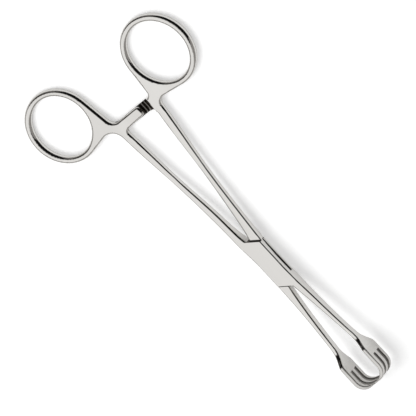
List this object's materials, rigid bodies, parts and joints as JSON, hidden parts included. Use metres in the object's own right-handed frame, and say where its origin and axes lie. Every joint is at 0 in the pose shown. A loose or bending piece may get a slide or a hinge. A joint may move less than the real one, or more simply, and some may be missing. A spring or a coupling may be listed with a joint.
{
  "type": "tenaculum forceps",
  "caption": "Straight ring-handled tenaculum forceps with a box lock, a ratchet between the shanks and inward-curving pointed prongs that meet tip to tip on flared jaws.",
  "frame": {"origin": "where the rivet's axis meets the underside of the box", "axes": "+X along the forceps towards the jaws, +Y towards the finger ring of the tongue half, +Z along the rivet, up through the box"},
  "size_m": [0.1586, 0.08, 0.009],
  "materials": {
    "box_half_steel": "polished satin stainless steel",
    "tongue_half_steel": "polished satin stainless steel",
    "pin_steel": "ground flush with the box and polished with it"
  },
  "bodies": {
    "box_half": {"box_half": "box_half_steel", "pivot_pin": "pin_steel"},
    "tongue_half": {"tongue_half": "tongue_half_steel"}
  },
  "joints": [
    {"name": "pivot", "type": "hinge", "parent": "box_half", "child": "tongue_half", "pos_m": [0, 0, 0], "axis": [0, 0, -1], "range_deg": [0, 90]}
  ]
}
